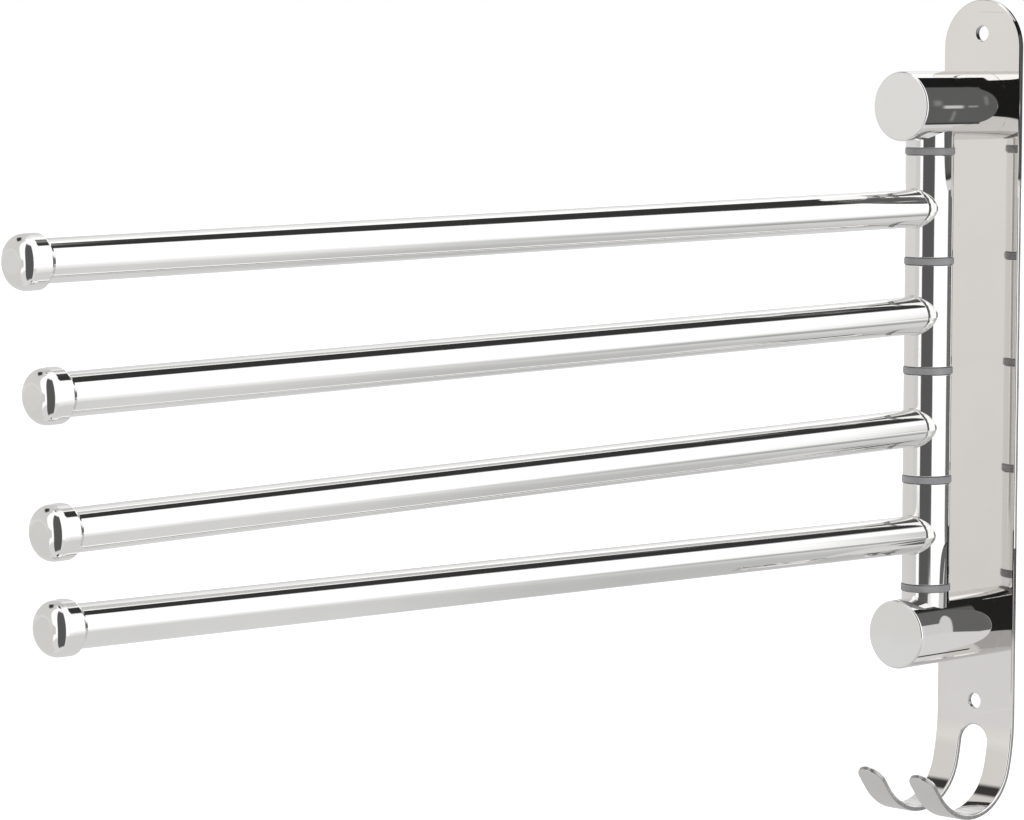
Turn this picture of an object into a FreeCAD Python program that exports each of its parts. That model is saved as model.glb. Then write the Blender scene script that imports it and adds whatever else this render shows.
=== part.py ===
import FreeCAD, Part
import Sketcher
import math
import os
import sys

V = FreeCAD.Vector
doc = FreeCAD.newDocument("SwingArmTowelBar")

# ---------------------------------------------------------------------------
# Driving dimensions, millimetres and degrees.
# Frame: +Z up, wall plane at y = 0, the object stands out from it towards -Y,
# +X is to the right for somebody who faces the wall. The origin is on the wall
# plane, half way between the two wall screws.
# ---------------------------------------------------------------------------
sheet = doc.addObject("Spreadsheet::Sheet", "Dimensions")
ROWS = [
    # wall plate
    ("plate_width", 31.2),
    ("plate_thick", 1.8),
    ("screw_half", 108.75),
    ("screw_hole_dia", 5.0),
    ("plate_crown_z", 104.1),
    ("slot_width", 11.6),
    ("slot_crown_z", -122.45),
    # hook profile: outer radii and turns of the bend, one after the other
    ("bend_start_z", -112.4),
    ("bend_a_radius", 70.0),
    ("bend_a_turn", 14.2),
    ("bend_b_radius", 18.5),
    ("bend_b_turn", 62.3),
    ("bend_c_radius", 21.8),
    ("bend_c_turn", 66.3),
    ("hook_rise", 4.3),
    ("bend_d_radius", 18.0),
    ("bend_d_turn", 10.3),
    ("hook_lip", 1.9),
    # posts
    ("post_upper_z", 85.65),
    ("post_lower_z", -82.85),
    ("post_dia", 22.0),
    ("post_wall", 1.2),
    ("post_length", 40.5),
    ("face_thick", 1.6),
    ("face_edge_round", 0.6),
    ("boss_dia", 19.5),
    ("boss_length", 16.5),
    ("tenon_dia", 8.0),
    ("set_screw_dia", 5.0),
    ("set_screw_length", 8.0),
    ("set_screw_from_plate", 10.5),
    ("set_screw_socket", 2.5),
    # column
    ("column_out", 25.6),
    ("rod_dia", 8.0),
    ("rod_hole_dia", 8.2),
    ("rod_end_inset", 0.4),
    ("column_dia", 15.4),
    ("washer_dia", 15.9),
    ("washer_thick", 2.2),
    ("washer_top_z", 71.35),
    ("stack_pitch", 35.0),
    ("axial_play", 0.1),
    ("sleeve_bore", 12.5),
    ("bush_bore", 8.1),
    ("bush_length", 11.0),
    ("bush_fit_gap", 0.02),
    # arms
    ("arm_dia", 12.0),
    ("arm_wall", 1.0),
    ("arm_length", 355.5),
    ("arm_1_swing", -2.59),
    ("arm_2_swing", -1.17),
    ("arm_3_swing", -0.78),
    ("arm_4_swing", -0.57),
    ("arm_1_rise", -0.92),
    ("arm_2_rise", -1.02),
    ("arm_3_rise", -0.94),
    ("arm_4_rise", 0.6),
    # height of each arm above the middle of its sleeve
    ("arm_1_offset", -0.5),
    ("arm_2_offset", 0.4),
    ("arm_3_offset", -0.7),
    ("arm_4_offset", -0.25),
    ("bead_size", 1.0),
    ("cap_dia", 15.2),
    ("cap_length", 9.8),
    ("cap_wall", 2.6),
    ("cap_round", 4.4),
    ("cap_rear_bevel", 1.6),
    # fasteners inside the posts
    ("nut_flats", 13.0),
    ("nut_height", 4.0),
    ("saddle_dia", 14.0),
    ("saddle_thin", 1.1),
    # gap between faces that are soldered or welded to each other on a curve
    ("joint_gap", 0.04),
]
for n, (name, value) in enumerate(ROWS, start=1):
    sheet.set("A%d" % n, name)
    sheet.set("B%d" % n, repr(float(value)))
    sheet.setAlias("B%d" % n, name)
doc.recompute()


def g(name):
    """One dimension from the sheet."""
    return float(sheet.get(name))


S = "Dimensions."
PARTS = []


def keep(obj, name):
    """Marks the object as one finished sub-part with its own label."""
    obj.Label = name
    PARTS.append(obj)
    return obj


def bind(obj, **exprs):
    for prop, expr in exprs.items():
        obj.setExpression(prop, expr)


def bind_place(obj, x=None, y=None, z=None):
    """Binds the position of an object to the sheet."""
    if x is not None:
        obj.setExpression(".Placement.Base.x", x)
    if y is not None:
        obj.setExpression(".Placement.Base.y", y)
    if z is not None:
        obj.setExpression(".Placement.Base.z", z)


def origin_plane(body, role):
    for f in body.Origin.OriginFeatures:
        if f.Role == role:
            return f
    raise RuntimeError("no plane " + role)


def new_body(name):
    body = doc.addObject("PartDesign::Body", "Body_" + name)
    return body


def sketch_on(body, name, role):
    sk = body.newObject("Sketcher::SketchObject", name)
    sk.AttachmentSupport = [(origin_plane(body, role), "")]
    sk.MapMode = "FlatFace"
    return sk


def sk_circle(sk, radius_expr, radius, tag):
    """A circle on the sketch origin whose radius follows the sheet."""
    i = sk.addGeometry(Part.Circle(V(0, 0, 0), V(0, 0, 1), radius), False)
    sk.addConstraint(Sketcher.Constraint("Coincident", i, 3, -1, 1))
    c = sk.addConstraint(Sketcher.Constraint("Radius", i, radius))
    sk.renameConstraint(c, tag)
    sk.setExpression("Constraints." + tag, radius_expr)
    return i


def cylinder(name, radius, height, x=None, y=None, z=None, rot=None):
    """A Part cylinder bound to the sheet."""
    c = doc.addObject("Part::Cylinder", name)
    if rot is not None:
        c.Placement = FreeCAD.Placement(V(0, 0, 0), rot)
    bind(c, Radius=radius, Height=height)
    bind_place(c, x, y, z)
    return c


def cut(name, base, tool):
    o = doc.addObject("Part::Cut", name)
    o.Base = base
    o.Tool = tool
    return o


def multi_cut(name, base, tools):
    o = base
    for i, t in enumerate(tools):
        o = cut("%s_%d" % (name, i), o, t)
    return o


ROT_OUT = FreeCAD.Rotation(V(1, 0, 0), 90)  # local +Z to -Y, out of the wall
COL_Y = "-(%splate_thick + %scolumn_out)" % (S, S)

# ---------------------------------------------------------------------------
# Wall plate: one strip of sheet, half-round top, two screw holes, and a lower
# end that is slit into two prongs and bent forward into hooks.
# The flat blank and the bend profile are two solids; their common volume is
# the finished plate.
# ---------------------------------------------------------------------------
w = g("plate_width")
t = g("plate_thick")


def hook_profile():
    """Side profile of the strip (y, z), as a closed wire of tangent arcs.
    The heading starts straight down and turns towards -Y."""
    outer, inner = [], []
    # outer edge is the wall side, inner edge is the room side
    ang = 0.0  # heading, degrees from -Z towards -Y
    y, z = 0.0, g("bend_start_z")
    top = g("plate_crown_z") + w / 2 + 5

    def normal(a):
        # from the outer edge to the inner edge
        r = math.radians(a)
        return (-math.cos(r), math.sin(r))

    def heading(a):
        r = math.radians(a)
        return (-math.sin(r), -math.cos(r))

    def pt(p, q):
        return V(0, p, q)

    edges_o, edges_i = [], []

    def line(length):
        nonlocal y, z
        hx, hz = heading(ang)
        n = normal(ang)
        a_o, b_o = (y, z), (y + hx * length, z + hz * length)
        a_i = (a_o[0] + n[0] * t, a_o[1] + n[1] * t)
        b_i = (b_o[0] + n[0] * t, b_o[1] + n[1] * t)
        edges_o.append(Part.LineSegment(pt(*a_o), pt(*b_o)).toShape())
        edges_i.append(Part.LineSegment(pt(*a_i), pt(*b_i)).toShape())
        y, z = b_o

    def bend(radius, turn, side):
        """side +1 turns towards the room, -1 turns back. radius is that of
        the outer edge."""
        nonlocal y, z, ang
        n = normal(ang)
        rad = radius if side > 0 else -radius
        cx, cz = y + n[0] * rad, z + n[1] * rad

        def at(a, off):
            m = normal(a)
            return (cx - m[0] * (rad - off), cz - m[1] * (rad - off))

        mid, end = ang + side * turn / 2, ang + side * turn
        for off, store in ((0.0, edges_o), (t, edges_i)):
            store.append(
                Part.Arc(pt(*at(ang, off)), pt(*at(mid, off)), pt(*at(end, off))).toShape()
            )
        y, z = at(end, 0.0)
        ang = end

    z_start = z
    y, z = 0.0, top
    line(top - z_start)
    bend(g("bend_a_radius"), g("bend_a_turn"), 1)
    bend(g("bend_b_radius"), g("bend_b_turn"), 1)
    bend(g("bend_c_radius"), g("bend_c_turn"), 1)
    line(g("hook_rise"))
    bend(g("bend_d_radius"), g("bend_d_turn"), -1)
    line(g("hook_lip"))
    tip_o = edges_o[-1].Vertexes[-1].Point
    tip_i = edges_i[-1].Vertexes[-1].Point
    top_o = edges_o[0].Vertexes[0].Point
    top_i = edges_i[0].Vertexes[0].Point
    wire = Part.Wire(
        Part.__sortEdges__(
            edges_o
            + [Part.LineSegment(tip_o, tip_i).toShape()]
            + edges_i
            + [Part.LineSegment(top_i, top_o).toShape()]
        )
    )
    return wire, (y, z), ang


profile, tip, tip_ang = hook_profile()
strip = Part.Face(profile).extrude(V(w, 0, 0))
strip.translate(V(-w / 2, 0, 0))

# outline seen from the front: crown at the top
crown = g("plate_crown_z")
cut_box = Part.makeBox(w + 10, 20, 60, V(-w / 2 - 5, -15, crown))
crown_cyl = Part.makeCylinder(w / 2, 40, V(0, 5, crown), V(0, -1, 0))
top_cut = cut_box.cut(crown_cyl)
strip = strip.cut(top_cut)
# slot between the prongs, with a round top
sw = g("slot_width")
slot = Part.makeBox(sw, 90, 100, V(-sw / 2, -80, g("slot_crown_z") - 100)).fuse(
    Part.makeCylinder(sw / 2, 90, V(0, 10, g("slot_crown_z")), V(0, -1, 0))
)
strip = strip.cut(slot)
# round ends of the two prongs, cut square to the lip
pw = (w - sw) / 2
r = math.radians(tip_ang)
lip_dir = V(0, -math.sin(r), -math.cos(r))  # along the lip, outwards
lip_nrm = V(0, -math.cos(r), math.sin(r))  # across the sheet
for side in (-1, 1):
    cx = side * (sw + pw) / 2
    base = V(cx, tip[0], tip[1]) - lip_dir * (pw / 2) - lip_nrm * 4
    block = Part.makeBox(pw + 2, pw, 12)
    # local x across the prong, local y along the lip, local z across the sheet
    m = FreeCAD.Matrix()
    xv = V(1, 0, 0)
    zv = lip_nrm
    yv = lip_dir
    if xv.cross(yv).dot(zv) < 0:
        xv = V(-1, 0, 0)
    m.A11, m.A21, m.A31 = xv.x, xv.y, xv.z
    m.A12, m.A22, m.A32 = yv.x, yv.y, yv.z
    m.A13, m.A23, m.A33 = zv.x, zv.y, zv.z
    origin = base - xv * (pw / 2 + 1)
    m.A14, m.A24, m.A34 = origin.x, origin.y, origin.z
    block = block.transformed(m)
    rnd = Part.makeCylinder(pw / 2, 20, base - lip_nrm * 4, lip_nrm)
    strip = strip.cut(block.cut(rnd))
# screw holes and the two holes for the tenons of the post bosses
sh = g("screw_half")
for zc, dia in (
    (sh, g("screw_hole_dia")),
    (-sh, g("screw_hole_dia")),
    (g("post_upper_z"), g("tenon_dia") + 2 * g("joint_gap")),
    (g("post_lower_z"), g("tenon_dia") + 2 * g("joint_gap")),
):
    strip = strip.cut(Part.makeCylinder(dia / 2, 20, V(0, 8, zc), V(0, -1, 0)))
plate = doc.addObject("Part::Feature", "WallPlateShape")
plate.Shape = strip.removeSplitter()
plate.Placement = FreeCAD.Placement()
keep(plate, "wall_plate")

# ---------------------------------------------------------------------------
# Posts: for each, a boss with a tenon riveted through the plate, a tube that
# slides over the boss, a face disc that closes the tube, and a set screw.
# ---------------------------------------------------------------------------
for tag, zexpr, up in (
    ("upper", S + "post_upper_z", 1),
    ("lower", S + "post_lower_z", -1),
):
    # boss: revolved body, axis along Y
    body = new_body("boss_" + tag)
    sk = sketch_on(body, "BossDisc_" + tag, "XZ_Plane")
    sk_circle(sk, S + "boss_dia / 2", g("boss_dia") / 2, "boss_r")
    pad = body.newObject("PartDesign::Pad", "BossPad_" + tag)
    pad.Profile = sk
    pad.setExpression("Length", S + "boss_length")
    pad.Reversed = False
    doc.recompute()
    sk2 = sketch_on(body, "Tenon_" + tag, "XZ_Plane")
    sk_circle(sk2, S + "tenon_dia / 2", g("tenon_dia") / 2, "tenon_r")
    pad2 = body.newObject("PartDesign::Pad", "TenonPad_" + tag)
    pad2.Profile = sk2
    pad2.setExpression("Length", S + "plate_thick")
    pad2.Reversed = True
    doc.recompute()
    # hole for the set screw, straight through the wall of the boss
    sk3 = body.newObject("Sketcher::SketchObject", "ScrewHole_" + tag)
    sk3.AttachmentSupport = [(origin_plane(body, "XY_Plane"), "")]
    sk3.MapMode = "FlatFace"
    ci = sk3.addGeometry(
        Part.Circle(V(0, -g("set_screw_from_plate"), 0), V(0, 0, 1), g("set_screw_dia") / 2 + 0.02),
        False,
    )
    sk3.addConstraint(Sketcher.Constraint("PointOnObject", ci, 3, -2))
    c = sk3.addConstraint(Sketcher.Constraint("DistanceY", ci, 3, -1, 1, g("set_screw_from_plate")))
    sk3.renameConstraint(c, "screw_out")
    sk3.setExpression("Constraints.screw_out", S + "set_screw_from_plate")
    c = sk3.addConstraint(Sketcher.Constraint("Radius", ci, g("set_screw_dia") / 2 + 0.02))
    sk3.renameConstraint(c, "screw_r")
    sk3.setExpression("Constraints.screw_r", S + "set_screw_dia / 2 + 0.02")
    doc.recompute()
    before = pad2.Shape.Volume
    pocket = body.newObject("PartDesign::Pocket", "ScrewPocket_" + tag)
    pocket.Profile = sk3
    pocket.Type = 0
    pocket.setExpression("Length", S + "post_dia / 2")
    pocket.Reversed = up > 0
    doc.recompute()
    if before - pocket.Shape.Volume < 50:
        raise RuntimeError("the set screw hole of the boss removed nothing")
    body.Tip = pocket
    bind_place(body, None, "-%splate_thick" % S, zexpr)
    keep(body, tag + "_post_boss")

    # tube, drilled for the rod on the column's side and for the set screw
    outer = cylinder(
        "PostOuter_" + tag,
        S + "post_dia / 2",
        "%spost_length - %sface_thick" % (S, S),
        None,
        "-%splate_thick" % S,
        zexpr,
        ROT_OUT,
    )
    inner = cylinder(
        "PostInner_" + tag,
        "%spost_dia / 2 - %spost_wall" % (S, S),
        "%spost_length + 2" % S,
        None,
        "-%splate_thick + 1" % S,
        zexpr,
        ROT_OUT,
    )
    rod_hole = cylinder(
        "PostRodHole_" + tag,
        S + "rod_hole_dia / 2",
        S + "post_dia",
        None,
        COL_Y,
        "%s - %spost_dia" % (zexpr, S) if up > 0 else zexpr,
    )
    screw_hole = cylinder(
        "PostScrewHole_" + tag,
        S + "set_screw_dia / 2 + 0.02",
        S + "post_dia",
        None,
        "-(%splate_thick + %sset_screw_from_plate)" % (S, S),
        zexpr if up > 0 else "%s - %spost_dia" % (zexpr, S),
    )
    tube = multi_cut("PostTube_" + tag, outer, [inner, rod_hole, screw_hole])
    keep(tube, tag + "_post_tube")

    # face disc with a rounded rim
    disc = cylinder(
        "FaceDisc_" + tag,
        S + "post_dia / 2",
        S + "face_thick",
        None,
        "-(%splate_thick + %spost_length - %sface_thick)" % (S, S, S),
        zexpr,
        ROT_OUT,
    )
    doc.recompute()
    rim = doc.addObject("Part::Fillet", "FaceRim_" + tag)
    rim.Base = disc
    front = -(g("plate_thick") + g("post_length"))
    ids = [
        i + 1
        for i, e in enumerate(disc.Shape.Edges)
        if e.Closed and abs(e.BoundBox.YMin - front) < 0.01 and abs(e.BoundBox.YMax - front) < 0.01
    ]
    rim.Edges = [(i, g("face_edge_round"), g("face_edge_round")) for i in ids]
    keep(rim, tag + "_post_face")

    # set screw with a hexagon socket, flush with the outside of the tube
    sc = cylinder(
        "SetScrewBody_" + tag,
        S + "set_screw_dia / 2",
        S + "set_screw_length",
        None,
        "-(%splate_thick + %sset_screw_from_plate)" % (S, S),
        "%s + %spost_dia / 2 - 0.25 - %sset_screw_length" % (zexpr, S, S)
        if up > 0
        else "%s - %spost_dia / 2 + 0.25" % (zexpr, S),
    )
    sock = doc.addObject("Part::Prism", "SetScrewSocket_" + tag)
    sock.Polygon = 6
    bind(sock, Circumradius=S + "set_screw_socket / sqrt(3)", Height="3.0")
    bind_place(
        sock,
        None,
        "-(%splate_thick + %sset_screw_from_plate)" % (S, S),
        "%s + %spost_dia / 2 - 0.25 - 2.4" % (zexpr, S)
        if up > 0
        else "%s - %spost_dia / 2 + 0.25 - 0.6" % (zexpr, S),
    )
    screw = cut("SetScrew_" + tag, sc, sock)
    keep(screw, tag + "_post_set_screw")

# ---------------------------------------------------------------------------
# Column stubs: fixed collars coped onto the posts
# ---------------------------------------------------------------------------
WT = "%swasher_thick / 2" % S
for tag, up in (("upper", 1), ("lower", -1)):
    zpost = S + "post_%s_z" % tag
    if up > 0:
        z0 = "%swasher_top_z + %s" % (S, WT)
        hgt = "%s - (%s)" % (zpost, z0)
    else:
        z0 = zpost
        hgt = "%swasher_top_z - 4 * %sstack_pitch - %s - %s" % (S, S, WT, zpost)
    blank = cylinder("StubBlank_" + tag, S + "column_dia / 2", hgt, None, COL_Y, z0)
    bore = cylinder(
        "StubBore_" + tag, S + "rod_hole_dia / 2", hgt + " + 10", None, COL_Y, z0 + " - 5"
    )
    cope = cylinder(
        "StubCope_" + tag,
        "%spost_dia / 2 + %sjoint_gap" % (S, S),
        S + "post_length * 2",
        None,
        "%spost_length / 2" % S,
        zpost,
        ROT_OUT,
    )
    stub = multi_cut("Stub_" + tag, blank, [bore, cope])
    keep(stub, tag + "_column_stub")

# ---------------------------------------------------------------------------
# Pivot rod, its two nuts and the two saddle washers inside the posts
# ---------------------------------------------------------------------------
body = new_body("pivot_rod")
sk = sketch_on(body, "RodCircle", "XY_Plane")
sk_circle(sk, S + "rod_dia / 2", g("rod_dia") / 2, "rod_r")
pad = body.newObject("PartDesign::Pad", "RodPad")
pad.Profile = sk
pad.setExpression("Length", "%spost_upper_z - %spost_lower_z - 2 * %srod_end_inset" % (S, S, S))
doc.recompute()
cham = body.newObject("PartDesign::Chamfer", "RodEnds")
rod_edges = [
    "Edge%d" % (i + 1)
    for i, e in enumerate(pad.Shape.Edges)
    if e.Closed and abs(e.BoundBox.ZMax - e.BoundBox.ZMin) < 1e-6
]
cham.Base = (pad, rod_edges)
cham.Size = 0.8
doc.recompute()
body.Tip = cham
bind_place(body, None, COL_Y, "%spost_lower_z + %srod_end_inset" % (S, S))
keep(body, "pivot_rod")

col_y = -(g("plate_thick") + g("column_out"))
r_in = g("post_dia") / 2 - g("post_wall")
sad_r = g("saddle_dia") / 2
# distance from the post's axis to the flat side of the saddle
sad_flat = math.sqrt(r_in**2 - sad_r**2) - g("saddle_thin")
rod_r = g("rod_dia") / 2
saddles, nuts = [], []
for zc, up in ((g("post_upper_z"), 1), (g("post_lower_z"), -1)):
    base = Part.makeCylinder(sad_r, r_in, V(0, col_y, zc), V(0, 0, -up))
    inside = Part.makeCylinder(r_in - g("joint_gap"), 60, V(0, 5, zc), V(0, -1, 0))
    sad = base.common(inside).cut(
        Part.makeCylinder(sad_r + 1, sad_flat, V(0, col_y, zc), V(0, 0, -up))
    )
    sad = sad.cut(Part.makeCylinder(rod_r + 0.15, 40, V(0, col_y, zc + up * 20), V(0, 0, -up)))
    saddles.append(sad.removeSplitter())
    # hexagon nut standing on the saddle's flat side, corners chamfered
    nh = g("nut_height")
    circ = g("nut_flats") / math.sqrt(3)
    pts = [
        V(circ * math.cos(math.radians(60 * k)), circ * math.sin(math.radians(60 * k)), 0)
        for k in range(7)
    ]
    z_low = zc - up * sad_flat if up > 0 else zc - up * sad_flat - nh
    hexa = Part.Face(Part.makePolygon(pts)).extrude(V(0, 0, nh))
    cone = Part.makeCone(circ - 0.9 + nh * 0, circ - 0.9 + nh * 1.2, nh)
    cone_dn = Part.makeCone(circ - 0.9 + nh * 1.2, circ - 0.9, nh)
    nut = hexa.common(cone).common(cone_dn)
    nut = nut.cut(Part.makeCylinder(rod_r + 0.03, nh + 2, V(0, 0, -1)))
    nut.translate(V(0, col_y, z_low))
    nuts.append(nut.removeSplitter())
f = doc.addObject("Part::Feature", "SaddleWasherShapes")
f.Shape = Part.makeCompound(saddles)
f.Placement = FreeCAD.Placement()
keep(f, "saddle_washers")
f = doc.addObject("Part::Feature", "RodNutShapes")
f.Shape = Part.makeCompound(nuts)
f.Placement = FreeCAD.Placement()
keep(f, "rod_nuts")

# ---------------------------------------------------------------------------
# Plain washers between the stubs and the sleeves
# ---------------------------------------------------------------------------
for k in range(5):
    body = new_body("washer_%d" % (k + 1))
    sk = sketch_on(body, "WasherRing_%d" % (k + 1), "XY_Plane")
    sk_circle(sk, S + "washer_dia / 2", g("washer_dia") / 2, "washer_r")
    sk_circle(sk, S + "rod_hole_dia / 2", g("rod_hole_dia") / 2, "bore_r")
    pad = body.newObject("PartDesign::Pad", "WasherPad_%d" % (k + 1))
    pad.Profile = sk
    pad.setExpression("Length", S + "washer_thick")
    doc.recompute()
    body.Tip = pad
    bind_place(
        body, None, COL_Y, "%swasher_top_z - %d * %sstack_pitch - %s" % (S, k, S, WT)
    )
    keep(body, "washer_%d" % (k + 1))

# ---------------------------------------------------------------------------
# Sleeves, their bushes, the arms, beads and caps
# ---------------------------------------------------------------------------
SLEN = "(%sstack_pitch - %swasher_thick - 2 * %saxial_play)" % (S, S, S)
slen = g("stack_pitch") - g("washer_thick") - 2 * g("axial_play")
for k in range(4):
    n = k + 1
    zlow = "%swasher_top_z - %d * %sstack_pitch + %s + %saxial_play" % (S, n, S, WT, S)
    zmid = "%swasher_top_z - %d * %sstack_pitch + %sstack_pitch / 2 + %sarm_%d_offset" % (
        S, n, S, S, S, n
    )
    body = new_body("sleeve_%d" % n)
    sk = sketch_on(body, "SleeveRing_%d" % n, "XY_Plane")
    sk_circle(sk, S + "column_dia / 2", g("column_dia") / 2, "sleeve_r")
    sk_circle(sk, S + "sleeve_bore / 2", g("sleeve_bore") / 2, "bore_r")
    pad = body.newObject("PartDesign::Pad", "SleevePad_%d" % n)
    pad.Profile = sk
    pad.setExpression("Length", SLEN)
    doc.recompute()
    cham = body.newObject("PartDesign::Chamfer", "SleeveEdges_%d" % n)
    big = [
        "Edge%d" % (i + 1)
        for i, e in enumerate(pad.Shape.Edges)
        if e.Closed
        and abs(e.BoundBox.ZMax - e.BoundBox.ZMin) < 1e-6
        and abs(e.BoundBox.XLength - g("column_dia")) < 0.1
    ]
    cham.Base = (pad, big)
    cham.Size = 0.2
    doc.recompute()
    body.Tip = cham
    bind_place(body, None, COL_Y, zlow)
    keep(body, "sleeve_%d" % n)

    for end, zb in (
        ("upper", "%s + %s - %sbush_length" % (zlow, SLEN, S)),
        ("lower", zlow),
    ):
        bo = cylinder(
            "BushOuter_%d_%s" % (n, end),
            "%ssleeve_bore / 2 - %sbush_fit_gap" % (S, S),
            S + "bush_length",
            None,
            COL_Y,
            zb,
        )
        bi = cylinder(
            "BushInner_%d_%s" % (n, end),
            S + "bush_bore / 2",
            S + "bush_length + 10",
            None,
            COL_Y,
            zb + " - 5",
        )
        keep(cut("Bush_%d_%s" % (n, end), bo, bi), "sleeve_bush_%d_%s" % (n, end))

    # the arm's own frame: local +Z along the arm, origin on the column's axis
    swing, rise = g("arm_%d_swing" % n), g("arm_%d_rise" % n)
    rot = (
        FreeCAD.Rotation(V(0, 0, 1), swing)
        .multiply(FreeCAD.Rotation(V(1, 0, 0), -rise))
        .multiply(ROT_OUT)
    )
    sleeve_r = g("column_dia") / 2

    def arm_cyl(name, radius, height, start):
        """A cylinder along the arm that starts `start` mm from the axis."""
        c = doc.addObject("Part::Cylinder", name)
        c.Placement = FreeCAD.Placement(V(0, 0, 0), rot)
        bind(c, Radius=radius, Height=height)
        d = rot.multVec(V(0, 0, 1))
        bind_place(
            c,
            "(%s) * %.9f" % (start, d.x),
            "%s + (%s) * %.9f" % (COL_Y, start, d.y),
            "%s + (%s) * %.9f" % (zmid, start, d.z),
        )
        return c

    tube_len = "%sarm_length - %scap_wall - %sjoint_gap" % (S, S, S)
    outer = arm_cyl("ArmOuter_%d" % n, S + "arm_dia / 2", tube_len, "0")
    inner = arm_cyl(
        "ArmInner_%d" % n, "%sarm_dia / 2 - %sarm_wall" % (S, S), tube_len + " + 10", "-5"
    )
    cope = cylinder(
        "ArmCope_%d" % n,
        "%scolumn_dia / 2 + %sjoint_gap" % (S, S),
        S + "stack_pitch",
        None,
        COL_Y,
        "%s - %sstack_pitch / 2" % (zmid, S),
    )
    arm = multi_cut("ArmTube_%d" % n, outer, [inner, cope])
    keep(arm, "arm_tube_%d" % n)

    # weld bead: a saddle-shaped ring round the cope
    ring = arm_cyl(
        "BeadOuter_%d" % n,
        "%sarm_dia / 2 + %sbead_size" % (S, S),
        "%scolumn_dia" % S,
        "0",
    )
    core = arm_cyl(
        "BeadCore_%d" % n,
        "%sarm_dia / 2 + %sjoint_gap" % (S, S),
        "%scolumn_dia * 2" % S,
        "-1",
    )
    shell = cylinder(
        "BeadShell_%d" % n,
        "%scolumn_dia / 2 + %sbead_size" % (S, S),
        S + "stack_pitch",
        None,
        COL_Y,
        "%s - %sstack_pitch / 2" % (zmid, S),
    )
    near = cylinder(
        "BeadNear_%d" % n,
        "%scolumn_dia / 2 + %sjoint_gap" % (S, S),
        S + "stack_pitch + 4",
        None,
        COL_Y,
        "%s - %sstack_pitch / 2 - 2" % (zmid, S),
    )
    common = doc.addObject("Part::Common", "BeadBlank_%d" % n)
    common.Base = ring
    common.Tool = shell
    bead = multi_cut("Bead_%d" % n, common, [core, near])
    keep(bead, "weld_bead_%d" % n)

    # end cap: revolved cup with a rounded face and a bevelled rear edge
    body = new_body("end_cap_%d" % n)
    sk = sketch_on(body, "CapHalf_%d" % n, "XZ_Plane")
    R, r_tube = g("cap_dia") / 2, g("arm_dia") / 2 + g("joint_gap")
    cl, cw, cr, cb = g("cap_length"), g("cap_wall"), g("cap_round"), g("cap_rear_bevel")
    lip = r_tube + 0.25
    # sketch x is the radius, sketch y runs along the arm, 0 at the face
    P = [
        V(0, 0, 0),
        V(R - cr, 0, 0),
        V(R, -cr, 0),
        V(R, -(cl - cb), 0),
        V(lip, -cl, 0),
        V(r_tube, -cl, 0),
        V(r_tube, -cw, 0),
        V(0, -cw, 0),
    ]
    lines = []

    def seg(a, b):
        i = sk.addGeometry(Part.LineSegment(a, b), False)
        lines.append(i)
        return i

    e0 = seg(P[0], P[1])
    arc = sk.addGeometry(
        Part.ArcOfCircle(
            Part.Circle(V(R - cr, -cr, 0), V(0, 0, 1), cr), 0.0, math.pi / 2
        ),
        False,
    )
    e1 = seg(P[2], P[3])
    e2 = seg(P[3], P[4])
    e3 = seg(P[4], P[5])
    e4 = seg(P[5], P[6])
    e5 = seg(P[6], P[7])
    e6 = seg(P[7], P[0])
    C = Sketcher.Constraint
    sk.addConstraint(C("Coincident", e0, 1, -1, 1))
    sk.addConstraint(C("Tangent", e0, 2, arc, 2))
    sk.addConstraint(C("Tangent", arc, 1, e1, 1))
    sk.addConstraint(C("Coincident", e1, 2, e2, 1))
    sk.addConstraint(C("Coincident", e2, 2, e3, 1))
    sk.addConstraint(C("Coincident", e3, 2, e4, 1))
    sk.addConstraint(C("Coincident", e4, 2, e5, 1))
    sk.addConstraint(C("Coincident", e5, 2, e6, 1))
    sk.addConstraint(C("Coincident", e6, 2, e0, 1))
    sk.addConstraint(C("Horizontal", e0))
    sk.addConstraint(C("Vertical", e1))
    sk.addConstraint(C("Horizontal", e3))
    sk.addConstraint(C("Vertical", e4))
    sk.addConstraint(C("Horizontal", e5))
    sk.addConstraint(C("Vertical", e6))
    for tag, con, expr in (
        ("round_r", C("Radius", arc, cr), S + "cap_round"),
        ("outer_r", C("DistanceX", -1, 1, e1, 1, R), S + "cap_dia / 2"),
        ("length_a", C("DistanceY", e2, 2, -1, 1, cl), S + "cap_length"),
        ("length_b", C("DistanceY", e1, 2, -1, 1, cl - cb), S + "cap_length - %scap_rear_bevel" % S),
        ("lip_r", C("DistanceX", -1, 1, e2, 2, lip), "%sarm_dia / 2 + %sjoint_gap + 0.25" % (S, S)),
        ("bore_r", C("DistanceX", -1, 1, e4, 1, r_tube), "%sarm_dia / 2 + %sjoint_gap" % (S, S)),
        ("wall_t", C("DistanceY", e5, 1, -1, 1, cw), S + "cap_wall"),
    ):
        ci = sk.addConstraint(con)
        sk.renameConstraint(ci, tag)
        sk.setExpression("Constraints." + tag, expr)
    doc.recompute()
    rev = body.newObject("PartDesign::Revolution", "CapTurn_%d" % n)
    rev.Profile = sk
    rev.ReferenceAxis = (sk, ["V_Axis"])
    rev.Angle = 360
    doc.recompute()
    body.Tip = rev
    # the body's own axis is Z (sketch V axis), with the face at z = 0
    body.Placement = FreeCAD.Placement(V(0, 0, 0), rot)
    d = rot.multVec(V(0, 0, 1))
    bind_place(
        body,
        "%sarm_length * %.9f" % (S, d.x),
        "%s + %sarm_length * %.9f" % (COL_Y, S, d.y),
        "%s + %sarm_length * %.9f" % (zmid, S, d.z),
    )
    keep(body, "end_cap_%d" % n)

doc.recompute()

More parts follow.
